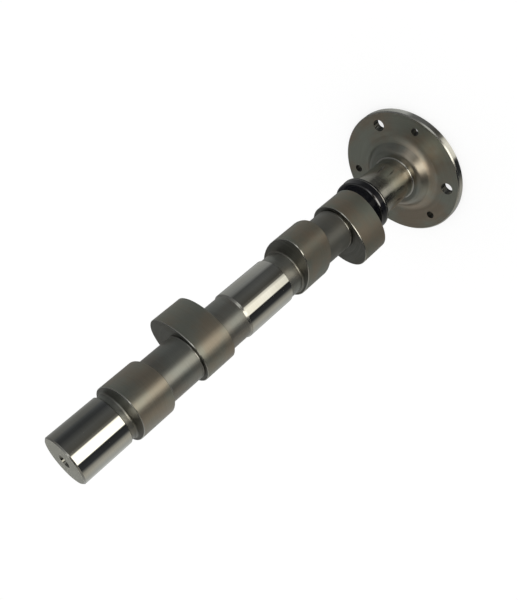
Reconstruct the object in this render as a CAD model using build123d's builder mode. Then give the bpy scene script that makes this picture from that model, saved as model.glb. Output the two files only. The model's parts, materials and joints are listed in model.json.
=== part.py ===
"""Camshaft of a small flat-four engine, turned and ground from one bar.

The shaft stands on its gear flange: the gear face is the XY plane, the shaft's axis is Z
and the free end is at the top. From the bottom it carries the gear flange with its hub,
the thrust journal, the thrust collar, a pair of cam lobes, the centre journal, a second
pair of lobes and the front journal.
"""

from build123d import *
from math import atan2, cos, radians, sin, tan
import os

os.makedirs("parts", exist_ok=True)

# ---- Sizes, in millimetres and degrees ----

# Gear flange
flange_diameter = 75.0
flange_thickness = 4.5
flange_edge_break = 0.6

# Hub: a thrust face round the journal, then a cone down to the flange, rounded at both ends
hub_face_width = 4.45
hub_flank_width = 4.9
hub_height = 6.5
hub_shoulder_radius = 3.8
hub_root_radius = 2.5

# Bearing journals, all ground to one diameter
journal_diameter = 25.0
thrust_journal_length = 28.2
centre_journal_length = 30.8
front_journal_length = 26.2
journal_edge_break = 0.4
journal_root_chamfer = 0.6
centre_journal_lead = 1.1

# Thrust collar and how far it stands out from the journal
collar_rim_height = 3.35
collar_width = 6.4
collar_top_round = 1.0
collar_bottom_chamfer = 1.0

# Necks between lobes and journals: clear of the tappets and of the bearings
tappet_clearance = 2.15
bearing_clearance = 0.7
neck_root_chamfer = 0.6
collar_to_lobe_gap = 3.9
lobe_to_centre_gap = 8.5
centre_to_lobe_gap = 13.1
lobe_to_front_gap = 3.1
relief_groove_width = 1.1
relief_groove_depth = 0.5

# Cam lobes: a flat tappet's lift over the base circle
base_circle_diameter = 27.9
valve_lift = 9.55
half_event_angle = 101.8
flank_fullness = 0.76
lobe_width = 18.0
lobe_pair_spacing = 41.2
lobe_edge_break = 0.3
flank_points = 7

# Nose directions, turning from lobe to lobe up the shaft
pair_angle = 108.0
tappet_bank_angle = 90.0

# Bolt holes, at the tapping size of M8, and dowel holes, midway across the flange's flat land
bolt_hole_diameter = 6.8
dowel_hole_diameter = 4.4
holes_per_set = 3
bolt_hole_angle = 39.6
dowel_hole_angle = 74.0
hole_edge_break = 0.35

# Drive slot in the gear face
slot_length = 22.0
slot_width = 7.0
slot_depth = 6.0

# Centre-drilled holes in both ends
centre_mouth_diameter = 6.5
centre_pilot_diameter = 2.5
centre_pilot_depth = 7.0
centre_angle = 60.0

# ---- Radii ----

flange_radius = flange_diameter / 2
journal_radius = journal_diameter / 2
hub_top_radius = journal_radius + hub_face_width
hub_foot_radius = hub_top_radius + hub_flank_width
hub_flank_angle = atan2(hub_height, hub_flank_width)
land_inner_radius = hub_foot_radius + hub_root_radius * tan(hub_flank_angle / 2)
land_outer_radius = flange_radius - flange_edge_break
hole_circle_radius = (land_inner_radius + land_outer_radius) / 2
collar_radius = journal_radius + collar_rim_height
base_radius = base_circle_diameter / 2
neck_radius = min(base_radius - tappet_clearance, journal_radius - bearing_clearance)

# ---- Heights up the shaft ----

flange_top = flange_thickness
hub_top = flange_top + hub_height
collar_bottom = hub_top + thrust_journal_length
collar_top = collar_bottom + collar_width
lobe_4_bottom = collar_top + collar_to_lobe_gap
lobe_3_bottom = lobe_4_bottom + lobe_pair_spacing
centre_bottom = lobe_3_bottom + lobe_width + lobe_to_centre_gap
centre_top = centre_bottom + centre_journal_length
lobe_2_bottom = centre_top + centre_to_lobe_gap
lobe_1_bottom = lobe_2_bottom + lobe_pair_spacing
front_bottom = lobe_1_bottom + lobe_width + lobe_to_front_gap
shaft_top = front_bottom + front_journal_length

# Each lobe's underside and the direction of its nose
lobe_places = [
    (lobe_4_bottom, 0.0),
    (lobe_3_bottom, pair_angle),
    (lobe_2_bottom, pair_angle + tappet_bank_angle),
    (lobe_1_bottom, tappet_bank_angle),
]


def lift_and_slope(angle):
    """Tappet lift and its change per radian, at an angle from the nose in radians."""
    reach = radians(half_event_angle)
    z = angle / reach
    rise = 1 - z**2
    swell = 1 + flank_fullness * z**2
    lift = valve_lift * rise**3 * swell
    slope = valve_lift * (2 * flank_fullness * z * rise**3 - 6 * z * rise**2 * swell) / reach
    return lift, slope


def flank_point(angle):
    """Where the tappet's flat face touches the lobe when it has turned by this angle."""
    lift, slope = lift_and_slope(angle)
    reach = base_radius + lift
    return reach * cos(angle) - slope * sin(angle), reach * sin(angle) + slope * cos(angle)


def corner(sketch, radius, height):
    """The corner of a half section at this radius and height."""
    return sketch.vertices().sort_by_distance((radius, height))[0]


# ---- One cam lobe, nose along +X ----

with BuildPart() as lobe:
    with BuildSketch(Plane.XY):
        with BuildLine():
            event = radians(half_event_angle)
            steps = [event * i / flank_points for i in range(-flank_points, flank_points + 1)]
            flank = Spline(
                *[flank_point(angle) for angle in steps],
                tangents=[(sin(event), cos(event)), (-sin(event), cos(event))],
            )
            ThreePointArc(flank @ 1, (-base_radius, 0), flank @ 0)
        make_face()
    extrude(amount=lobe_width)
    chamfer(lobe.faces().filter_by(Axis.Z).edges(), length=lobe_edge_break)

# ---- The whole shaft ----

with BuildPart() as camshaft:
    # Turned blank, as a half section turned about the axis
    with BuildSketch(Plane.XZ) as section:
        with BuildLine():
            Polyline(
                (0, 0),
                (flange_radius, 0),
                (flange_radius, flange_top),
                (hub_foot_radius, flange_top),
                (hub_top_radius, hub_top),
                (journal_radius, hub_top),
                (journal_radius, collar_bottom),
                (collar_radius, collar_bottom),
                (collar_radius, collar_top),
                (neck_radius, collar_top),
                (neck_radius, centre_bottom),
                (journal_radius, centre_bottom),
                (journal_radius, centre_top - centre_journal_lead),
                (neck_radius, centre_top),
                (neck_radius, front_bottom),
                (journal_radius, front_bottom),
                (journal_radius, shaft_top),
                (0, shaft_top),
                close=True,
            )
        make_face()
        chamfer(
            [corner(section, flange_radius, 0), corner(section, flange_radius, flange_top)],
            length=flange_edge_break,
        )
        fillet(corner(section, hub_foot_radius, flange_top), radius=hub_root_radius)
        fillet(corner(section, hub_top_radius, hub_top), radius=hub_shoulder_radius)
        chamfer(
            [corner(section, journal_radius, hub_top), corner(section, journal_radius, collar_bottom)],
            length=journal_root_chamfer,
        )
        chamfer(corner(section, collar_radius, collar_bottom), length=collar_bottom_chamfer)
        fillet(corner(section, collar_radius, collar_top), radius=collar_top_round)
        chamfer(
            [
                corner(section, journal_radius, centre_bottom),
                corner(section, journal_radius, front_bottom),
                corner(section, journal_radius, shaft_top),
            ],
            length=journal_edge_break,
        )
    revolve(axis=Axis.Z)

    # Cam lobes on the necks
    for bottom, nose_angle in lobe_places:
        with Locations(Location((0, 0, bottom), (0, 0, nose_angle))):
            add(lobe.part)

    # Grinding relief above the lower lobe of each pair
    for bottom in (lobe_4_bottom, lobe_2_bottom):
        with BuildSketch(Plane.XY.offset(bottom + lobe_width)):
            Circle(neck_radius + relief_groove_depth)
            Circle(neck_radius - relief_groove_depth, mode=Mode.SUBTRACT)
        extrude(amount=relief_groove_width, mode=Mode.SUBTRACT)

    # Root chamfers where the other lobe faces meet the necks
    lobe_faces = [lobe_4_bottom, lobe_3_bottom, lobe_2_bottom, lobe_1_bottom]
    lobe_faces += [lobe_3_bottom + lobe_width, lobe_1_bottom + lobe_width]
    neck_rings = camshaft.edges().filter_by(GeomType.CIRCLE).filter_by(
        lambda ring: abs(ring.radius - neck_radius) < 1e-3
        and min(abs(ring.center().Z - height) for height in lobe_faces) < 1e-3
    )
    chamfer(neck_rings, length=neck_root_chamfer)

    # Drive slot in the gear face
    with BuildSketch(Plane.XY):
        SlotOverall(slot_length, slot_width)
    extrude(amount=slot_depth, mode=Mode.SUBTRACT)

    # Bolt holes and dowel holes of the gear flange
    for diameter, first_angle in (
        (bolt_hole_diameter, bolt_hole_angle),
        (dowel_hole_diameter, bolt_hole_angle + dowel_hole_angle),
    ):
        with BuildSketch(Plane.XY):
            with PolarLocations(hole_circle_radius, holes_per_set, start_angle=first_angle):
                Circle(diameter / 2)
        extrude(amount=flange_thickness, mode=Mode.SUBTRACT)
    hole_rims = camshaft.edges().filter_by(GeomType.CIRCLE).filter_by(
        lambda rim: rim.arc_center.Z <= flange_top
        and hub_foot_radius < Vector(rim.arc_center.X, rim.arc_center.Y).length < flange_radius
    )
    chamfer(hole_rims, length=hole_edge_break)

    # Centre-drilled holes, one in the free end and one in the floor of the drive slot
    with Locations(
        Location((0, 0, shaft_top)),
        Location((0, 0, slot_depth), (180, 0, 0)),
    ):
        CounterSinkHole(
            radius=centre_pilot_diameter / 2,
            counter_sink_radius=centre_mouth_diameter / 2,
            depth=centre_pilot_depth,
            counter_sink_angle=centre_angle,
        )

camshaft.part.label = "camshaft"
export_step(camshaft.part, "parts/camshaft.step")
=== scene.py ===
"""A ground steel camshaft standing on its gear flange, dressed and lit for a studio picture."""

import json
import logging
import math
from dataclasses import dataclass, field
from enum import Enum
from typing import Any, Callable, Iterable, Sequence, Union

import bmesh
import bpy
from mathutils import Matrix, Vector

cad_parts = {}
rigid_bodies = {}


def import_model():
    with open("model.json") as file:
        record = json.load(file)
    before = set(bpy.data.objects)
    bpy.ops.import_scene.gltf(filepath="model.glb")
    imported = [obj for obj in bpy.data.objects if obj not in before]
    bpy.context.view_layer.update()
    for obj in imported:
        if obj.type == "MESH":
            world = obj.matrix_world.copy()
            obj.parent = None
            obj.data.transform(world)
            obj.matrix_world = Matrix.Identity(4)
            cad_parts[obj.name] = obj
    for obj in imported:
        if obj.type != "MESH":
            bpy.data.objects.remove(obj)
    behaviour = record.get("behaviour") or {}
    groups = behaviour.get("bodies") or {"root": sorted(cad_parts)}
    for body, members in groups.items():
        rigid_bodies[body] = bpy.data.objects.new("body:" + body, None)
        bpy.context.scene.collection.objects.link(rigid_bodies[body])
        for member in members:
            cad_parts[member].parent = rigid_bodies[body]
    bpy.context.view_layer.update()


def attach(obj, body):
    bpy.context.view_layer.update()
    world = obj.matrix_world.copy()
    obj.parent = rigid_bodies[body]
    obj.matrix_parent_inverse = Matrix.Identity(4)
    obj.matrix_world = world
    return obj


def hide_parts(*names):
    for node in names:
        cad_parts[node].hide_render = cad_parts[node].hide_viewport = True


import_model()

log = logging.getLogger("camshaft")

MM = 0.001

# Tool marks and waves: how far they are drawn out along the tool's path, and their detail
MARK_STRETCH, MARK_DETAIL = 40.0, 2.0
WAVE_STRETCH, WAVE_DETAIL = 12.0, 1.0
MARK_NOISE_ROUGHNESS = 0.6

# Stains: their noise, the part of it over which they set in, and how much they dull the sheen
STAIN_SCALE, STAIN_DETAIL, STAIN_NOISE_ROUGHNESS = 55.0, 4.0, 0.55
STAIN_START, STAIN_FULL = 0.38, 0.66
STAIN_DULLING = 0.25

# Noise swings about this value, and roughness stays between these two
NOISE_MIDDLE = 0.5
SMOOTHEST, ROUGHEST = 0.03, 0.95

# Sockets of a Mix node that mixes colours, whose names aren't unique
MIX_SHARE, MIX_FIRST, MIX_SECOND, MIX_RESULT = 0, 6, 7, 2

Colour = tuple[float, float, float]
Outline = Callable[[float], tuple[float, float]]
Loop = list[bmesh.types.BMEdge]
ByBearing = tuple[tuple[float, float, Colour], ...]
ByHeight = tuple[tuple[float, float], ...]


# ---------------------------------------------------------------------------
# Shader maths
# ---------------------------------------------------------------------------


@dataclass(frozen=True)
class Signal:
    """A number that flows out of a node's socket, on which sums can be written."""

    tree: bpy.types.NodeTree
    socket: bpy.types.NodeSocket

    def _maths(self, operation: str, *terms: "Term") -> "Signal":
        """Add one Math node.

        Args:
            operation: Blender's name of the operation.
            terms: The node's inputs, in order.

        Returns:
            The node's result.
        """
        nodes = Nodes(self.tree)
        node = nodes.add("ShaderNodeMath", {"operation": operation}, dict(enumerate(terms)))
        return nodes.signal(node)

    def __add__(self, other: "Term") -> "Signal":
        """Sum."""
        return self._maths("ADD", self, other)

    def __radd__(self, other: "Term") -> "Signal":
        """Sum, with the number first."""
        return self._maths("ADD", other, self)

    def __sub__(self, other: "Term") -> "Signal":
        """Difference."""
        return self._maths("SUBTRACT", self, other)

    def __rsub__(self, other: "Term") -> "Signal":
        """Difference, with the number first."""
        return self._maths("SUBTRACT", other, self)

    def __mul__(self, other: "Term") -> "Signal":
        """Product."""
        return self._maths("MULTIPLY", self, other)

    def __rmul__(self, other: "Term") -> "Signal":
        """Product, with the number first."""
        return self._maths("MULTIPLY", other, self)

    def __truediv__(self, other: "Term") -> "Signal":
        """Quotient."""
        return self._maths("DIVIDE", self, other)

    def __rtruediv__(self, other: "Term") -> "Signal":
        """Quotient, with the number first."""
        return self._maths("DIVIDE", other, self)

    def most(self, other: "Term") -> "Signal":
        """The larger of the two."""
        return self._maths("MAXIMUM", self, other)

    def least(self, other: "Term") -> "Signal":
        """The smaller of the two."""
        return self._maths("MINIMUM", self, other)

    def root(self) -> "Signal":
        """Square root."""
        return self._maths("SQRT", self)

    def bearing(self, other: "Term") -> "Signal":
        """Angle of the point (other, self) about the origin, in radians."""
        return self._maths("ARCTAN2", self, other)

    def ramp(self, low: float, high: float) -> "Signal":
        """Rise smoothly from 0 at low to 1 at high.

        Args:
            low: Where the rise starts.
            high: Where it ends.

        Returns:
            The smoothed share.
        """
        nodes = Nodes(self.tree)
        node = nodes.add(
            "ShaderNodeMapRange",
            {"interpolation_type": "SMOOTHSTEP"},
            {"Value": self, "From Min": low, "From Max": high},
        )
        return nodes.signal(node, "Result")


Term = Union[Signal, float, int]


@dataclass(frozen=True)
class Nodes:
    """The node tree of one material or world, with one way to add any node."""

    tree: bpy.types.NodeTree

    @staticmethod
    def of(owner: Any) -> "Nodes":
        """Turn nodes on in a material or world and clear its tree.

        Args:
            owner: The material or world.

        Returns:
            Its empty tree.
        """
        owner.use_nodes = True
        owner.node_tree.nodes.clear()
        return Nodes(owner.node_tree)

    def add(self, kind: str, settings: dict[str, Any], sockets: dict[Any, Any]) -> bpy.types.Node:
        """Add a node.

        Args:
            kind: The node's type.
            settings: Its properties, set first. "stops" fills a colour ramp.
            sockets: Values or links of its inputs.

        Returns:
            The node.
        """
        node = self.tree.nodes.new(kind)
        for name, value in settings.items():
            if name == "stops":
                self._fill_ramp(node.color_ramp, value)
            else:
                setattr(node, name, value)
        for name, value in sockets.items():
            place = node.inputs[name]
            if isinstance(value, Signal):
                self.tree.links.new(value.socket, place)
            elif isinstance(value, bpy.types.NodeSocket):
                self.tree.links.new(value, place)
            else:
                place.default_value = value
        return node

    @staticmethod
    def _fill_ramp(ramp: bpy.types.ColorRamp, stops: Sequence[tuple[float, Colour]]) -> None:
        """Write the stops of a colour ramp.

        Args:
            ramp: The ramp.
            stops: Place and colour of each stop, in order.
        """
        while len(ramp.elements) < len(stops):
            ramp.elements.new(1.0)
        for element, (place, colour) in zip(ramp.elements, stops):
            element.position = place
            element.color = (*colour, 1.0)

    def signal(self, node: bpy.types.Node, output: Any = 0) -> Signal:
        """The number that one output of a node gives."""
        return Signal(self.tree, node.outputs[output])

    def blend(self, share: Term, first: Colour, second: Colour) -> bpy.types.NodeSocket:
        """Mix two colours.

        Args:
            share: How much of the second.
            first: A colour.
            second: A colour.

        Returns:
            The mixed colour's socket.
        """
        node = self.add(
            "ShaderNodeMix",
            {"data_type": "RGBA"},
            {MIX_SHARE: share, MIX_FIRST: (*first, 1.0), MIX_SECOND: (*second, 1.0)},
        )
        return node.outputs[MIX_RESULT]

    def vectors(self, operation: str, sockets: dict[Any, Any]) -> bpy.types.NodeSocket:
        """Add one Vector Math node.

        Args:
            operation: Blender's name of the operation.
            sockets: Values or links of its inputs.

        Returns:
            The resulting vector's socket.
        """
        return self.add("ShaderNodeVectorMath", {"operation": operation}, sockets).outputs[0]


# ---------------------------------------------------------------------------
# Finishes
# ---------------------------------------------------------------------------


class Lay(Enum):
    """The way in which tool marks run over a surface."""

    ROUND_SHAFT = "round a journal, neck or lobe"
    ROUND_FACE = "in rings on a face square to the shaft"


class Finish(Enum):
    """The finishes on the shaft, numbered as its material slots."""

    JOURNAL = 0
    LOBE = 1
    NECK = 2
    TURNED = 3
    FLANGE = 4
    RIM = 5
    COLLAR = 6
    BORE = 7
    EDGE = 8
    FILLET = 9
    HUB = 10
    END = 11
    THRUST = 12
    REAR_LOBE = 13
    REAR_NECK = 14
    WORN = 15
    THREAD = 16
    CONE = 17


@dataclass(frozen=True)
class MetalFinish:
    """Steel with tool marks, stains and a sheen of its own.

    Lengths are in millimetres on the surface.
    """

    name: str
    colour: Colour
    stain: Colour
    stain_share: float
    roughness: float
    roughness_swing: float
    lay: Lay
    mark_pitch: float
    mark_depth: float
    wave_pitch: float
    wave_depth: float
    metallic: float = 1.0
    streak: float = 0.22

    def material(self) -> bpy.types.Material:
        """Build the procedural material.

        Returns:
            The material.
        """
        material = bpy.data.materials.new(self.name)
        nodes = Nodes.of(material)
        place = nodes.add("ShaderNodeTexCoord", {}, {}).outputs["Object"]
        axes = nodes.add("ShaderNodeSeparateXYZ", {}, {"Vector": place})
        east, north, up = (nodes.signal(axes, i) for i in range(3))
        if self.lay is Lay.ROUND_SHAFT:
            across, along_a, along_b = up, east, north
        else:
            across, along_a, along_b = (east * east + north * north).root(), east, north

        def marks(pitch: float, stretch: float, detail: float) -> Signal:
            """Noise about nought, drawn out along the tool's path."""
            fine, coarse = 1.0 / (pitch * MM), 1.0 / (pitch * stretch * MM)
            vector = nodes.add(
                "ShaderNodeCombineXYZ",
                {},
                {"X": across * fine, "Y": along_a * coarse, "Z": along_b * coarse},
            )
            noise = nodes.add(
                "ShaderNodeTexNoise",
                {},
                {
                    "Vector": vector.outputs[0],
                    "Scale": 1.0,
                    "Detail": detail,
                    "Roughness": MARK_NOISE_ROUGHNESS,
                },
            )
            return nodes.signal(noise, "Fac") - NOISE_MIDDLE

        fine = marks(self.mark_pitch, MARK_STRETCH, MARK_DETAIL)
        broad = marks(self.wave_pitch, WAVE_STRETCH, WAVE_DETAIL)
        patches = nodes.add(
            "ShaderNodeTexNoise",
            {},
            {
                "Vector": place,
                "Scale": STAIN_SCALE,
                "Detail": STAIN_DETAIL,
                "Roughness": STAIN_NOISE_ROUGHNESS,
            },
        )
        cloud = nodes.signal(patches, "Fac").ramp(STAIN_START, STAIN_FULL)
        colour = nodes.blend(cloud * self.stain_share, self.colour, self.stain)
        shade = nodes.vectors("SCALE", {0: colour, "Scale": fine * self.streak + 1.0})
        dulling = (cloud - NOISE_MIDDLE) * (self.roughness_swing * STAIN_DULLING)
        rough = self.roughness + fine * self.roughness_swing + dulling
        relief = fine * self.mark_depth + broad * self.wave_depth
        bump = nodes.add("ShaderNodeBump", {}, {"Strength": 1.0, "Distance": MM, "Height": relief})
        steel = nodes.add(
            "ShaderNodeBsdfPrincipled",
            {},
            {
                "Base Color": shade,
                "Metallic": self.metallic,
                "Roughness": rough.most(SMOOTHEST).least(ROUGHEST),
                "Normal": bump.outputs[0],
            },
        )
        nodes.add("ShaderNodeOutputMaterial", {}, {"Surface": steel.outputs[0]})
        return material


# Each has its name, colour, stain and the stain's share, roughness and its swing, lay, then
# the pitch and depth of its tool marks and the pitch and depth of its waves
FINISHES: dict[Finish, MetalFinish] = {
    Finish.JOURNAL: MetalFinish(
        "ground_journal", (0.585, 0.585, 0.555), (0.54, 0.525, 0.47), 0.5, 0.055, 0.03,
        Lay.ROUND_SHAFT, 0.16, 0.0003, 2.4, 0.0005,
    ),
    Finish.LOBE: MetalFinish(
        "satin_lobe", (0.259, 0.268, 0.233), (0.299, 0.25, 0.193), 0.8, 0.37, 0.10,
        Lay.ROUND_SHAFT, 0.30, 0.0010, 3.0, 0.0010, metallic=0.75, streak=0.32,
    ),
    Finish.NECK: MetalFinish(
        "satin_neck", (0.242, 0.25, 0.231), (0.248, 0.217, 0.181), 0.6, 0.34, 0.10,
        Lay.ROUND_SHAFT, 0.28, 0.0012, 2.6, 0.0010, metallic=0.75, streak=0.32,
    ),
    # Rear lobes and the neck between them: darker, duller copies of the front lobe and neck, a painted
    # shade for the light that falls off towards the flange
    Finish.REAR_LOBE: MetalFinish(
        "rear_lobe_painted_shade", (0.141, 0.15, 0.122), (0.185, 0.145, 0.103), 0.8, 0.42, 0.10,
        Lay.ROUND_SHAFT, 0.30, 0.0010, 3.0, 0.0010, metallic=0.35, streak=0.32,
    ),
    Finish.REAR_NECK: MetalFinish(
        "rear_neck_painted_shade", (0.128, 0.128, 0.113), (0.126, 0.116, 0.092), 0.6, 0.40, 0.10,
        Lay.ROUND_SHAFT, 0.28, 0.0012, 2.6, 0.0010, metallic=0.4,
    ),
    Finish.THRUST: MetalFinish(
        "thrust_journal", (0.52, 0.515, 0.475), (0.47, 0.44, 0.37), 0.6, 0.19, 0.09,
        Lay.ROUND_SHAFT, 0.30, 0.0010, 1.8, 0.0008, streak=0.5,
    ),
    Finish.TURNED: MetalFinish(
        "turned_face", (0.21, 0.21, 0.195), (0.17, 0.16, 0.135), 0.6, 0.38, 0.16,
        Lay.ROUND_FACE, 0.55, 0.0110, 1.6, 0.0040, streak=0.8,
    ),
    Finish.END: MetalFinish(
        "faced_end", (0.80, 0.795, 0.72), (0.73, 0.71, 0.62), 0.5, 0.34, 0.14,
        Lay.ROUND_FACE, 0.50, 0.0030, 1.8, 0.0030,
    ),
    Finish.FLANGE: MetalFinish(
        "turned_flange", (0.345, 0.358, 0.315), (0.36, 0.292, 0.23), 0.8, 0.42, 0.14,
        Lay.ROUND_FACE, 0.50, 0.0040, 1.8, 0.0040, streak=0.35,
    ),
    Finish.HUB: MetalFinish(
        "turned_hub", (0.28, 0.29, 0.263), (0.29, 0.25, 0.205), 0.8, 0.31, 0.10,
        Lay.ROUND_FACE, 0.60, 0.0015, 1.8, 0.0020, streak=0.3,
    ),
    Finish.RIM: MetalFinish(
        "ground_rim", (0.58, 0.58, 0.55), (0.52, 0.505, 0.46), 0.5, 0.13, 0.06,
        Lay.ROUND_SHAFT, 0.40, 0.0015, 1.4, 0.0010, streak=0.45,
    ),
    Finish.COLLAR: MetalFinish(
        "black_collar", (0.011, 0.0115, 0.015), (0.016, 0.0155, 0.015), 0.5, 0.10, 0.04,
        Lay.ROUND_SHAFT, 0.25, 0.0008, 1.6, 0.0008, metallic=0.0,
    ),
    # Inside the bores, the slot and the centre holes the steel is painted very dark: painted shade in
    # these recesses
    Finish.BORE: MetalFinish(
        "drilled_bore_painted_shade", (0.075, 0.074, 0.068), (0.04, 0.038, 0.032), 0.7, 0.50, 0.15,
        Lay.ROUND_SHAFT, 0.30, 0.0060, 0.9, 0.0060,
    ),
    Finish.EDGE: MetalFinish(
        "polished_edge", (0.45, 0.445, 0.42), (0.38, 0.365, 0.33), 0.4, 0.20, 0.08,
        Lay.ROUND_SHAFT, 0.20, 0.0005, 1.2, 0.0005,
    ),
    Finish.WORN: MetalFinish(
        "worn_black_edge", (0.15, 0.15, 0.155), (0.09, 0.09, 0.095), 0.8, 0.13, 0.06,
        Lay.ROUND_SHAFT, 0.25, 0.0008, 1.6, 0.0008,
    ),
    # The thread inside the bolt holes is painted dark: painted shade in the recess, under the glints
    # the lamps give it
    Finish.THREAD: MetalFinish(
        "tapped_thread_painted_shade", (0.105, 0.105, 0.098), (0.05, 0.047, 0.042), 0.6, 0.20, 0.10,
        Lay.ROUND_SHAFT, 0.30, 0.0010, 0.9, 0.0010,
    ),
    Finish.CONE: MetalFinish(
        "drilled_cone", (0.22, 0.22, 0.20), (0.11, 0.10, 0.09), 0.5, 0.14, 0.08,
        Lay.ROUND_FACE, 0.25, 0.0010, 0.9, 0.0010,
    ),
    Finish.FILLET: MetalFinish(
        "turned_fillet", (0.26, 0.26, 0.24), (0.22, 0.205, 0.17), 0.6, 0.36, 0.12,
        Lay.ROUND_FACE, 0.40, 0.0015, 1.6, 0.0015,
    ),
}


# ---------------------------------------------------------------------------
# The shaft's skin
# ---------------------------------------------------------------------------

# Where a curve faces, in degrees: out from the shaft, up it, in towards its axis, down it
OUT, UP, IN, DOWN = 0.0, 90.0, 180.0, 270.0


@dataclass
class Skin:
    """A closed skin drawn upwards ring by ring, each ring extruded from the last.

    Guard rings lie close to the ends of a run and keep its shading true. Runs up to the
    guarded length have none.
    """

    segments: int = 256
    guard: float = 0.05
    guarded: float = 0.2
    curve_steps: int = 8
    small_curve: float = 0.5
    small_curve_steps: int = 5
    mesh: bmesh.types.BMesh = field(default_factory=bmesh.new)
    rim: Loop = field(default_factory=list)
    height: float = 0.0
    radius: float = 0.0
    centre: tuple[float, float] = (0.0, 0.0)

    def __post_init__(self) -> None:
        """Keep each vertex's angle round its ring, which extruding hands on."""
        self.turn = self.mesh.verts.layers.float.new("turn")

    def _put(self, verts: Iterable[bmesh.types.BMVert], height: float, outline: Outline) -> None:
        """Move a ring's vertices onto an outline.

        Args:
            verts: The ring's vertices.
            height: The ring's height in millimetres.
            outline: Where the ring is, at each angle.
        """
        for vert in verts:
            x, y = outline(vert[self.turn])
            vert.co = Vector(((x + self.centre[0]) * MM, (y + self.centre[1]) * MM, height * MM))

    def land(self, loops: Iterable[Loop], finish: Finish) -> None:
        """Fill the flat land that lies between an outer loop and the loops inside it.

        Args:
            loops: The edges of each loop.
            finish: The land's finish.
        """
        edges = [edge for loop in loops for edge in loop]
        made = bmesh.ops.triangle_fill(self.mesh, use_beauty=True, use_dissolve=False, edges=edges)
        for item in made["geom"]:
            if isinstance(item, bmesh.types.BMFace):
                item.material_index = finish.value

    def start(
        self,
        height: float,
        radius: float,
        outline: Outline | None = None,
        segments: int = 0,
        centre: tuple[float, float] = (0.0, 0.0),
    ) -> Loop:
        """Draw the first ring of a run.

        Args:
            height: Its height in millimetres.
            radius: Its radius.
            outline: Its outline where it isn't a circle.
            segments: Its number of edges; 0 takes the skin's own.
            centre: The run's centre.

        Returns:
            The ring's edges.
        """
        self.height, self.radius, self.centre = height, radius, centre
        made = bmesh.ops.create_circle(
            self.mesh, cap_ends=False, radius=1.0, segments=segments or self.segments
        )["verts"]
        for vert in made:
            vert[self.turn] = math.atan2(vert.co.y, vert.co.x)
        self._put(made, height, outline or circle(radius))
        self.rim = list(dict.fromkeys(edge for vert in made for edge in vert.link_edges))
        return self.rim

    def go(self, height: float, radius: float, finish: Finish, outline: Outline | None = None) -> Loop:
        """Extrude the last ring to the next one.

        Args:
            height: Its height.
            radius: Its radius, or that of the circle nearest to its outline.
            finish: The finish of the band between the two.
            outline: Its outline where it isn't a circle.

        Returns:
            The new ring's edges.
        """
        made = bmesh.ops.extrude_edge_only(self.mesh, edges=self.rim)["geom"]
        verts = [item for item in made if isinstance(item, bmesh.types.BMVert)]
        self._put(verts, height, outline or circle(radius))
        for item in made:
            if isinstance(item, bmesh.types.BMFace):
                item.material_index = finish.value
        ring = set(verts)
        edges = [item for item in made if isinstance(item, bmesh.types.BMEdge)]
        self.rim = [edge for edge in edges if ring.issuperset(edge.verts)]
        self.height, self.radius = height, radius
        return self.rim

    def wall(self, height: float, finish: Finish) -> None:
        """Go straight up to a height, with a guard ring near each end.

        Args:
            height: The wall's top.
            finish: Its finish.
        """
        foot, radius = self.height, self.radius
        if height - foot > self.guarded:
            self.go(foot + self.guard, radius, finish)
            self.go(height - self.guard, radius, finish)
        self.go(height, radius, finish)

    def step(self, radius: float, finish: Finish) -> None:
        """Go level to another radius, with a guard ring near each end.

        Args:
            radius: The radius to reach.
            finish: The face's finish.
        """
        start, height = self.radius, self.height
        way = math.copysign(self.guard, radius - start)
        if abs(radius - start) > self.guarded:
            self.go(height, start + way, finish)
            self.go(height, radius - way, finish)
        self.go(height, radius, finish)

    def curve(
        self, centre: tuple[float, float], size: float, start: float, end: float, finish: Finish
    ) -> None:
        """Go round a fillet or a rounded edge.

        Args:
            centre: Height and radius of the curve's centre.
            size: The curve's own radius.
            start: Angle where it starts: OUT, UP, IN, DOWN or between two of them.
            end: Angle where it ends.
            finish: Its finish.
        """
        steps = self.curve_steps if size > self.small_curve else self.small_curve_steps
        for i in range(1, steps + 1):
            angle = math.radians(start + (end - start) * i / steps)
            self.go(centre[0] + size * math.sin(angle), centre[1] + size * math.cos(angle), finish)

    def close(self, finish: Finish) -> None:
        """Fill the last ring with one face."""
        for face in bmesh.ops.edgeloop_fill(self.mesh, edges=self.rim)["faces"]:
            face.material_index = finish.value

    def order(self) -> None:
        """List the faces by their vertices, so that each run lists them alike."""
        count = len(self.mesh.verts)

        def place(face: bmesh.types.BMFace) -> float:
            """A face's place in the list, from the first three of its vertices."""
            first, second, third = sorted(vert.index for vert in face.verts)[:3]
            return float((first * count + second) * count + third)

        self.mesh.verts.index_update()
        self.mesh.faces.sort(key=place)


def turned(x: float, y: float, angle: float) -> tuple[float, float]:
    """A point turned about the origin by an angle in radians."""
    return x * math.cos(angle) - y * math.sin(angle), x * math.sin(angle) + y * math.cos(angle)


def circle(radius: float) -> Outline:
    """The outline of a circle."""
    return lambda angle: (radius * math.cos(angle), radius * math.sin(angle))


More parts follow.
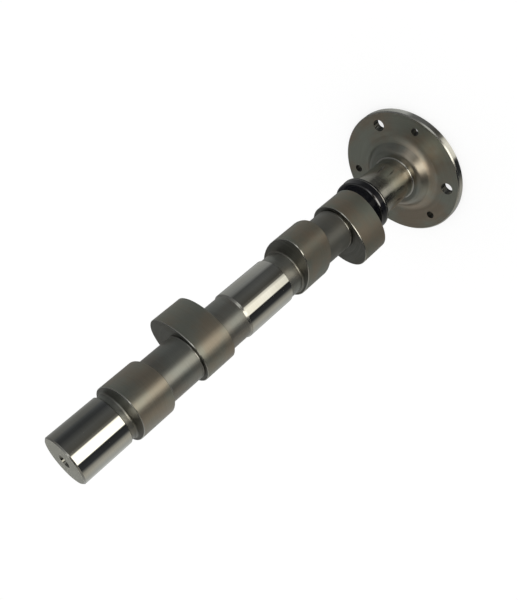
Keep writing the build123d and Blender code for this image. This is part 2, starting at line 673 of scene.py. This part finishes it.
@dataclass(frozen=True)
class CamProfile:
    """A lobe's outline, from the lift of its flat tappet."""

    base: float = 13.95
    lift: float = 9.55
    half_event: float = 101.8
    fullness: float = 0.76

    def point(self, angle: float, inset: float) -> tuple[float, float]:
        """Where a flat tappet touches the lobe.

        Args:
            angle: The tappet's angle from the nose, in radians.
            inset: How far inside the outline, for the edge's break.

        Returns:
            The point, with the nose along +X.
        """
        reach = math.radians(self.half_event)
        z = max(-1.0, min(1.0, angle / reach))
        rise, swell = 1 - z * z, 1 + self.fullness * z * z
        lift = self.lift * rise**3 * swell
        slope = self.lift * (2 * self.fullness * z * rise**3 - 6 * z * rise**2 * swell) / reach
        out = self.base + lift - inset
        return turned(out, slope, angle)

    def outline(self, nose: float, inset: float = 0.0) -> Outline:
        """The lobe's outline with its nose turned to an angle.

        Args:
            nose: The nose's angle in degrees.
            inset: How far inside the outline.

        Returns:
            The outline.
        """
        turn = math.radians(nose)

        def at(angle: float) -> tuple[float, float]:
            """The outline's point at one angle."""
            away = math.remainder(angle - turn, math.tau)
            return turned(*self.point(away, inset), turn)

        return at


@dataclass(frozen=True)
class Thread:
    """A thread cut outwards from a hole's core.

    The crest is left at the core and each flank is slanted, as shares of half a pitch.
    """

    core: float = 3.4
    pitch: float = 1.25
    depth: float = 0.6
    crest: float = 0.25
    flank: float = 0.625
    rings_to_pitch: int = 10
    run_out: float = 0.25

    def outline(self, height: float, margin: float) -> Outline:
        """The bore's outline at one height.

        Args:
            height: Height in the hole.
            margin: Distance to the nearer mouth, where the thread runs out.

        Returns:
            The outline.
        """
        cut = self.depth * min(1.0, margin / self.run_out)

        def at(angle: float) -> tuple[float, float]:
            """The outline's point at one angle."""
            phase = (height / self.pitch - angle / math.tau) % 1.0
            share = (1 - abs(2 * phase - 1) - self.crest) / self.flank
            reach = self.core + cut * max(0.0, min(1.0, share))
            return reach * math.cos(angle), reach * math.sin(angle)

        return at


@dataclass(frozen=True)
class Lobe:
    """One cam lobe: where it starts, where its nose points and how wide its relief groove is."""

    bottom: float
    nose: float
    groove: float
    flank: Finish
    neck: Finish


@dataclass
class Camshaft:
    """The whole shaft, in one piece. Sizes are in millimetres up from the gear face.

    Pairs give a form's bottom and top, or its lower and its upper edge. The collar's strip
    has a width and a drop, the bead a size and a rise, the first dowel hole an angle and a
    radius, and the slot a length, a width and a depth.
    """

    flange_radius: float = 37.5
    flange_top: float = 4.5
    flange_break: float = 0.6
    hub_radii: tuple[float, float] = (21.85, 16.95)
    hub_top: float = 11.0
    hub_rounds: tuple[float, float] = (6.0, 3.8)
    journal: float = 12.5
    journal_break: float = 0.4
    journal_root: float = 0.7
    collar: tuple[float, float] = (39.2, 45.6)
    collar_radius: float = 15.85
    collar_breaks: tuple[float, float] = (1.0, 1.0)
    collar_strip: tuple[float, float] = (0.8, 0.2)
    neck: float = 11.8
    neck_root: float = 0.9
    groove_depth: float = 0.5
    bead: tuple[float, float] = (0.2, 0.1)
    centre: tuple[float, float] = (117.2, 148.0)
    centre_lead: float = 1.1
    front: tuple[float, float] = (223.4, 249.6)
    end_break: float = 0.6
    lobe_width: float = 18.0
    lobe_break: float = 0.3
    profile: CamProfile = CamProfile()
    rear_lobes: tuple[Lobe, Lobe] = (
        Lobe(49.5, 0.0, 1.1, Finish.REAR_LOBE, Finish.COLLAR),
        Lobe(90.7, 108.0, 0.0, Finish.REAR_LOBE, Finish.REAR_NECK),
    )
    front_lobes: tuple[Lobe, Lobe] = (
        Lobe(161.1, 198.0, 0.4, Finish.LOBE, Finish.NECK),
        Lobe(202.3, 90.0, 0.0, Finish.LOBE, Finish.NECK),
    )
    holes_per_set: int = 3
    hole_segments: int = 64
    hole_circle: float = 30.0
    bolt_angle: float = 39.6
    bolt_thread: Thread = Thread()
    dowel_hole: tuple[float, float] = (113.6, 2.2)
    hole_break: float = 0.05
    slot: tuple[float, float, float] = (22.0, 7.0, 6.0)
    centre_mouth: float = 3.25
    centre_pilot: float = 1.25
    centre_depth: float = 7.0
    centre_half_angle: float = 30.0
    weld: float = 1e-7
    sharp_angle: float = 32.0

    @property
    def hub_slope(self) -> float:
        """Angle between the hub's cone and the flange, in radians."""
        foot, top = self.hub_radii
        return math.atan2(self.hub_top - self.flange_top, foot - top)

    @property
    def land_radius(self) -> float:
        """Inner radius of the flange's flat land, where the hub's root ends."""
        return self.hub_radii[0] + self.hub_rounds[0] * math.tan(self.hub_slope / 2)

    @property
    def centre_cone(self) -> float:
        """Height of the cone in a centre-drilled hole."""
        return (self.centre_mouth - self.centre_pilot) / math.tan(math.radians(self.centre_half_angle))

    def build(self) -> bpy.types.Object:
        """Draw the shaft and dress it.

        Returns:
            The finished object.
        """
        skin = Skin()
        foot, lip, land = self._flange(skin)
        self._holes_and_slot(skin, foot, lip, land)
        self._thrust_end(skin)
        for lobe in self.rear_lobes:
            self._lobe(skin, lobe)
        self._centre_journal(skin)
        for lobe in self.front_lobes:
            self._lobe(skin, lobe)
        self._front_journal(skin)
        return self._finish(skin)

    def _flange(self, skin: Skin) -> tuple[Loop, Loop, Loop]:
        """Draw the flange's edge and start the hub.

        Args:
            skin: The skin so far.

        Returns:
            The loops round the gear face, round the upper land and at the hub's foot.
        """
        rim, top, edge = self.flange_radius, self.flange_top, self.flange_break
        foot = skin.start(0.0, rim - edge)
        skin.go(edge, rim, Finish.EDGE)
        skin.go(top - edge, rim, Finish.RIM)
        lip = skin.go(top, rim - edge, Finish.EDGE)
        land = skin.start(top, self.land_radius + skin.guard)
        return foot, lip, land

    def _holes_and_slot(self, skin: Skin, foot: Loop, lip: Loop, land: Loop) -> None:
        """Draw the flange's holes, the drive slot with its centre hole, and the lands between them.

        Args:
            skin: The skin so far.
            foot: The loop round the gear face.
            lip: The loop round the upper land.
            land: The loop at the hub's foot.
        """
        lower, upper = [foot], [lip, land]
        brink, count = self.hole_break, self.hole_segments
        for i in range(self.holes_per_set):
            for angle, radius in ((self.bolt_angle, self.bolt_thread.core), self.dowel_hole):
                turn = math.radians(angle + 360.0 / self.holes_per_set * i)
                centre = circle(self.hole_circle)(turn)
                lower.append(skin.start(0.0, radius + brink, segments=count, centre=centre))
                skin.go(brink, radius, Finish.BORE)
                if radius == self.bolt_thread.core:
                    self._thread(skin, brink, self.flange_top - brink)
                skin.go(self.flange_top - brink, radius, Finish.BORE)
                upper.append(skin.go(self.flange_top, radius + brink, Finish.BORE))
        length, width, depth = self.slot
        shift, end = (length - width) / 2, circle(width / 2)

        def slot(angle: float) -> tuple[float, float]:
            """The slot's outline: a circle pulled apart along X."""
            x, y = end(angle + math.pi / count)
            return x + math.copysign(shift, x), y

        lower.append(skin.start(0.0, width / 2, slot, segments=count))
        floor = skin.go(depth, width / 2, Finish.BORE, slot)
        drill = skin.start(depth, self.centre_mouth, segments=count)
        skin.land((floor, drill), Finish.BORE)
        skin.go(depth + self.centre_cone, self.centre_pilot, Finish.CONE)
        skin.go(depth + self.centre_depth, self.centre_pilot, Finish.BORE)
        skin.close(Finish.BORE)
        skin.land(lower, Finish.FLANGE)
        skin.land(upper, Finish.FLANGE)
        skin.centre, skin.rim = (0.0, 0.0), land
        skin.height, skin.radius = self.flange_top, self.land_radius + skin.guard

    def _thread(self, skin: Skin, bottom: float, top: float) -> None:
        """Cut a hole's thread.

        Args:
            skin: The skin so far, with its last ring at the thread's lower end.
            bottom: Height of the thread's lower end.
            top: Height of its upper end.
        """
        thread = self.bolt_thread
        rings = round((top - bottom) * thread.rings_to_pitch / thread.pitch)
        for i in range(1, rings):
            height = bottom + (top - bottom) * i / rings
            margin = min(height - bottom, top - height)
            skin.go(height, thread.core, Finish.THREAD, thread.outline(height, margin))

    def _thrust_end(self, skin: Skin) -> None:
        """Draw the hub, the thrust journal and the collar.

        Args:
            skin: The skin so far.
        """
        (root, shoulder), relief = self.hub_rounds, self.journal_root
        bottom, top = self.collar
        under, over = self.collar_breaks
        slope = math.degrees(self.hub_slope)
        crest = self.hub_radii[1] - shoulder * math.tan(self.hub_slope / 2)
        skin.go(self.flange_top, self.land_radius, Finish.FLANGE)
        hollow = (self.flange_top + root, self.land_radius)
        skin.curve(hollow, root, DOWN, DOWN - slope, Finish.FLANGE)
        skin.curve((self.hub_top - shoulder, crest), shoulder, UP - slope, UP, Finish.HUB)
        skin.step(self.journal + relief, Finish.HUB)
        hollow = (self.hub_top + relief, self.journal + relief)
        skin.curve(hollow, relief, DOWN, IN, Finish.EDGE)
        skin.wall(bottom - relief, Finish.THRUST)
        skin.curve((bottom - relief, self.journal + relief), relief, IN, UP, Finish.EDGE)
        skin.step(self.collar_radius - under, Finish.TURNED)
        strip, drop = self.collar_strip
        body = self.collar_radius - drop
        skin.go(bottom + under, self.collar_radius, Finish.COLLAR)
        skin.wall(bottom + under + strip, Finish.COLLAR)
        skin.curve((bottom + under + strip, body), drop, OUT, UP, Finish.EDGE)
        skin.wall(top - over, Finish.COLLAR)
        skin.curve((top - over, body - over), over, OUT, UP, Finish.WORN)
        skin.step(self.neck, Finish.COLLAR)

    def _lobe(self, skin: Skin, lobe: Lobe) -> None:
        """Draw one lobe from the neck below it to the neck above it.

        Args:
            skin: The skin so far.
            lobe: The lobe.
        """
        bottom, top = lobe.bottom, lobe.bottom + self.lobe_width
        root, edge = self.neck_root, self.lobe_break
        whole, broken = self.profile.outline(lobe.nose), self.profile.outline(lobe.nose, edge)
        base = self.profile.base
        skin.wall(bottom - root, lobe.neck)
        skin.curve((bottom - root, self.neck + root), root, IN, UP, Finish.FILLET)
        skin.go(bottom, self.neck + root + skin.guard, Finish.TURNED)
        skin.go(bottom, base - edge, Finish.TURNED, broken)
        skin.go(bottom + edge, base, Finish.EDGE, whole)
        skin.go(top - edge, base, lobe.flank, whole)
        skin.go(top, base - edge, Finish.EDGE, broken)
        if lobe.groove:
            brink, floor, (size, rise) = top + lobe.groove, self.neck - self.groove_depth, self.bead
            skin.go(top, floor, Finish.TURNED)
            skin.go(brink, floor, Finish.FILLET)
            skin.go(brink, self.neck + rise, Finish.FILLET)
            crest = math.degrees(math.acos(1 - rise / size))
            skin.curve((brink, self.neck + rise - size), size, OUT, crest, Finish.EDGE)
        else:
            skin.go(top, self.neck + root + skin.guard, Finish.TURNED)
            skin.go(top, self.neck + root, Finish.TURNED)
            skin.curve((top + root, self.neck + root), root, DOWN, IN, Finish.FILLET)

    def _journal_foot(self, skin: Skin, bottom: float) -> None:
        """Draw the neck up to a journal and the step out to it.

        Args:
            skin: The skin so far.
            bottom: The journal's lower end.
        """
        skin.wall(bottom, Finish.NECK)
        skin.go(bottom, self.journal - self.journal_break, Finish.EDGE)
        skin.go(bottom + self.journal_break, self.journal, Finish.EDGE)

    def _centre_journal(self, skin: Skin) -> None:
        """Draw the centre journal.

        Args:
            skin: The skin so far.
        """
        bottom, top = self.centre
        self._journal_foot(skin, bottom)
        skin.wall(top - self.centre_lead, Finish.JOURNAL)
        skin.go(top, self.neck, Finish.EDGE)

    def _front_journal(self, skin: Skin) -> None:
        """Draw the front journal and the centre-drilled free end.

        Args:
            skin: The skin so far.
        """
        bottom, top = self.front
        self._journal_foot(skin, bottom)
        skin.wall(top - self.end_break, Finish.JOURNAL)
        skin.go(top, self.journal - self.end_break, Finish.EDGE)
        skin.step(self.centre_mouth, Finish.END)
        skin.go(top - self.centre_cone, self.centre_pilot, Finish.CONE)
        skin.go(top - self.centre_depth, self.centre_pilot, Finish.BORE)
        skin.close(Finish.BORE)

    def _finish(self, skin: Skin) -> bpy.types.Object:
        """Make the object and give it its finishes.

        Args:
            skin: The whole skin.

        Returns:
            The object.
        """
        bmesh.ops.remove_doubles(skin.mesh, verts=skin.mesh.verts, dist=self.weld)
        bmesh.ops.recalc_face_normals(skin.mesh, faces=skin.mesh.faces)
        skin.order()
        for face in skin.mesh.faces:
            face.smooth = True
        open_edges = [edge for edge in skin.mesh.edges if not edge.is_manifold]
        log.info("shaft: %d faces, %d open edges", len(skin.mesh.faces), len(open_edges))
        mesh = bpy.data.meshes.new("camshaft_skin")
        skin.mesh.to_mesh(mesh)
        skin.mesh.free()
        mesh.set_sharp_from_angle(angle=math.radians(self.sharp_angle))
        for finish in Finish:
            mesh.materials.append(FINISHES[finish].material())
        shaft = bpy.data.objects.new("camshaft_body", mesh)
        bpy.context.scene.collection.objects.link(shaft)
        return shaft


# ---------------------------------------------------------------------------
# The studio
# ---------------------------------------------------------------------------

WHITE = (1.0, 1.0, 1.0, 1.0)
PLAIN: Colour = (0.99, 1.0, 0.97)
CREAM: Colour = (1.04, 1.0, 0.89)
COOL: Colour = (0.95, 1.0, 1.06)


@dataclass(frozen=True)
class Studio:
    """A pale floor, a room of soft panels for the steel to mirror, and the camera.

    Each layer of panels has a level and a tint by bearing, times a level by elevation.
    """

    camera_place: tuple[float, float, float] = (-5.64, 311.84, 310.66)
    camera_bearing: float = -88.57
    camera_pitch: float = -30.01
    camera_roll: float = -130.89
    lens: float = 51.285
    sensor_width: float = 36.0
    clip: tuple[float, float] = (0.01, 60.0)
    floor_radius: float = 14.0
    floor_segments: int = 96
    floor_grey: float = 0.30
    floor_glow: float = 0.74
    room_level: float = 0.92
    full: float = 8.0
    walls: ByBearing = (
        (-180, 0.09, COOL),
        (-168, 0.15, PLAIN),
        (-140, 0.20, PLAIN),
        (-112, 0.29, PLAIN),
        (-96, 0.30, PLAIN),
        (-82, 0.30, PLAIN),
        (-66, 0.62, PLAIN),
        (-40, 0.50, PLAIN),
        (-12, 0.52, CREAM),
        (3, 0.38, CREAM),
        (12, 0.15, PLAIN),
        (18, 0.05, COOL),
        (44, 0.035, COOL),
        (60, 0.06, PLAIN),
        (94, 0.20, CREAM),
        (102, 0.10, CREAM),
        (128, 0.11, PLAIN),
        (156, 0.05, COOL),
        (168, 0.055, COOL),
        (180, 0.09, COOL),
    )
    wall_heights: ByHeight = (
        (-90, 0.8),
        (-48, 0.9),
        (-45, 0.35),
        (-38, 0.28),
        (-31, 0.85),
        (-14, 1.0),
        (5, 1.0),
        (25, 0.9),
        (45, 0.6),
        (90, 0.9),
    )
    key: ByBearing = (
        (-180, 0.0, CREAM),
        (46, 0.0, CREAM),
        (49, 2.8, CREAM),
        (77, 2.8, CREAM),
        (80, 0.0, CREAM),
        (180, 0.0, CREAM),
    )
    key_heights: ByHeight = (
        (-90, 0.02),
        (-58, 0.02),
        (-54, 0.43),
        (-48, 0.43),
        (-46.5, 0.11),
        (-40, 0.15),
        (-36, 0.22),
        (-31, 0.48),
        (-22, 0.61),
        (-14, 0.78),
        (0, 1.0),
        (50, 1.0),
        (62, 0.25),
        (76, 0.04),
        (90, 0.04),
    )
    side: ByBearing = (
        (-180, 0.0, CREAM),
        (77, 0.0, CREAM),
        (80, 2.2, CREAM),
        (87.5, 1.6, CREAM),
        (91, 0.0, CREAM),
        (180, 0.0, CREAM),
    )
    side_heights: ByHeight = (
        (-90, 0.02),
        (-58, 0.02),
        (-54, 0.5),
        (-48, 0.5),
        (-46.5, 0.05),
        (-40, 0.08),
        (-36, 0.15),
        (-31, 0.5),
        (-22, 0.75),
        (-14, 1.0),
        (-7, 1.0),
        (-1, 0.0),
        (90, 0.0),
    )
    low: ByBearing = (
        (-180, 0.9, PLAIN),
        (-120, 0.9, PLAIN),
        (-112, 0.0, PLAIN),
        (-60, 0.0, PLAIN),
        (-52, 0.35, PLAIN),
        (-10, 0.2, PLAIN),
        (0, 0.0, PLAIN),
        (104, 0.0, PLAIN),
        (156, 0.2, PLAIN),
        (172, 0.9, PLAIN),
        (180, 0.9, PLAIN),
    )
    low_heights: ByHeight = (
        (-90, 0.9),
        (-48, 0.9),
        (-46.8, 0.2),
        (-43, 0.17),
        (-38, 0.5),
        (-34, 0.35),
        (-29, 0.2),
        (-22, 0.07),
        (-14, 0.0),
        (90, 0.0),
    )
    high: ByBearing = (
        (-180, 0.22, PLAIN),
        (-160, 0.18, PLAIN),
        (-135, 0.0, PLAIN),
        (98, 0.0, PLAIN),
        (103, 1.3, PLAIN),
        (124, 1.3, PLAIN),
        (132, 0.4, PLAIN),
        (180, 0.22, PLAIN),
    )
    high_heights: ByHeight = (
        (-90, 0.0),
        (-5, 0.0),
        (10, 0.35),
        (25, 0.55),
        (45, 0.6),
        (58, 1.0),
        (80, 1.0),
        (90, 0.6),
    )

    def floor(self) -> bpy.types.Object:
        """Lay the floor.

        Returns:
            The floor.
        """
        plane = bmesh.new()
        bmesh.ops.create_circle(
            plane, cap_ends=True, radius=self.floor_radius, segments=self.floor_segments
        )
        mesh = bpy.data.meshes.new("floor")
        plane.to_mesh(mesh)
        plane.free()
        material = bpy.data.materials.new("studio_floor")
        nodes = Nodes.of(material)
        grey = (self.floor_grey, self.floor_grey, self.floor_grey, 1.0)
        paper = nodes.add("ShaderNodeBsdfDiffuse", {}, {"Color": grey})
        glow = nodes.add("ShaderNodeEmission", {}, {"Color": WHITE, "Strength": self.floor_glow})
        seen = nodes.add("ShaderNodeLightPath", {}, {})
        both = nodes.add("ShaderNodeAddShader", {}, {0: paper.outputs[0], 1: glow.outputs[0]})
        mix = nodes.add(
            "ShaderNodeMixShader",
            {},
            {"Fac": seen.outputs["Is Camera Ray"], 1: paper.outputs[0], 2: both.outputs[0]},
        )
        nodes.add("ShaderNodeOutputMaterial", {}, {"Surface": mix.outputs[0]})
        mesh.materials.append(material)
        floor = bpy.data.objects.new("floor", mesh)
        bpy.context.scene.collection.objects.link(floor)
        floor.visible_glossy = False
        return floor

    def room(self) -> None:
        """Set the world: white to the camera, plain on the floor, soft panels in the steel."""
        world = bpy.data.worlds.new("studio_room")
        bpy.context.scene.world = world
        nodes = Nodes.of(world)
        way = nodes.add("ShaderNodeTexCoord", {}, {}).outputs["Generated"]
        axes = nodes.add("ShaderNodeSeparateXYZ", {}, {"Vector": way})
        east, north, up = (nodes.signal(axes, i) for i in range(3))
        turn = north.bearing(east) / math.tau + 0.5
        height = up * 0.5 + 0.5

        def layer(bearings: ByBearing, heights: ByHeight) -> bpy.types.NodeSocket:
            """One layer of panels: a ramp by bearing times a ramp by height."""
            stops = self._by_bearing(bearings)
            lit = nodes.add("ShaderNodeValToRGB", {"stops": stops}, {"Fac": turn})
            stops = self._by_height(heights)
            share = nodes.add("ShaderNodeValToRGB", {"stops": stops}, {"Fac": height})
            level = nodes.signal(share) * self.full
            return nodes.vectors("SCALE", {0: lit.outputs[0], "Scale": level})

        mirrored = layer(self.walls, self.wall_heights)
        for bearings, heights in (
            (self.key, self.key_heights),
            (self.side, self.side_heights),
            (self.low, self.low_heights),
            (self.high, self.high_heights),
        ):
            mirrored = nodes.vectors("ADD", {0: mirrored, 1: layer(bearings, heights)})
        seen = nodes.add("ShaderNodeLightPath", {}, {})
        steel = nodes.add("ShaderNodeBackground", {}, {"Color": mirrored, "Strength": 1.0})
        plain = nodes.add("ShaderNodeBackground", {}, {"Color": WHITE, "Strength": self.room_level})
        white = nodes.add("ShaderNodeBackground", {}, {"Color": WHITE, "Strength": 1.0})
        inner = nodes.add(
            "ShaderNodeMixShader",
            {},
            {"Fac": seen.outputs["Is Glossy Ray"], 1: plain.outputs[0], 2: steel.outputs[0]},
        )
        outer = nodes.add(
            "ShaderNodeMixShader",
            {},
            {"Fac": seen.outputs["Is Camera Ray"], 1: inner.outputs[0], 2: white.outputs[0]},
        )
        nodes.add("ShaderNodeOutputWorld", {}, {"Surface": outer.outputs[0]})
        world.cycles.sampling_method = "NONE"

    def _by_bearing(self, panels: ByBearing) -> list[tuple[float, Colour]]:
        """Stops of a ramp round the room.

        Args:
            panels: Bearing, level and tint of each stop.

        Returns:
            The stops, with levels as shares of the full level, which a ramp can hold.
        """
        return [
            ((bearing + 180) / 360, tuple(min(1.0, level * part / self.full) for part in tint))
            for bearing, level, tint in panels
        ]

    @staticmethod
    def _by_height(heights: ByHeight) -> list[tuple[float, Colour]]:
        """Stops of a ramp from straight down to straight up.

        Args:
            heights: Elevation and level of each stop.

        Returns:
            The stops, by the sine of the elevation.
        """
        return [
            (math.sin(math.radians(up)) * 0.5 + 0.5, (level, level, level)) for up, level in heights
        ]

    def camera(self) -> bpy.types.Object:
        """Place the camera.

        Returns:
            The camera.
        """
        bearing, pitch = math.radians(self.camera_bearing), math.radians(self.camera_pitch)
        east, north = circle(math.cos(pitch))(bearing)
        ahead = Vector((east, north, math.sin(pitch)))
        turn = ahead.to_track_quat("-Z", "Y").to_matrix().to_4x4()
        roll = Matrix.Rotation(math.radians(self.camera_roll), 4, "Z")
        data = bpy.data.cameras.new("studio_camera")
        data.sensor_fit = "HORIZONTAL"
        data.sensor_width = self.sensor_width
        data.lens = self.lens
        data.clip_start, data.clip_end = self.clip
        camera = bpy.data.objects.new("studio_camera", data)
        place = Matrix.Translation(Vector(self.camera_place) * MM)
        camera.matrix_world = place @ turn @ roll
        bpy.context.scene.collection.objects.link(camera)
        bpy.context.scene.camera = camera
        return camera


def main() -> None:
    """Build the shaft and the studio, and log the shaft's faces."""
    logging.basicConfig(level=logging.INFO, format="%(message)s")
    shaft = Camshaft().build()
    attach(shaft, "root")
    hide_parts("camshaft")
    log.info("camshaft_body: %d polygons", len(shaft.data.polygons))
    studio = Studio()
    studio.floor()
    studio.room()
    studio.camera()
    bpy.context.scene.view_settings.view_transform = "Standard"


if __name__ == "__main__":
    main()
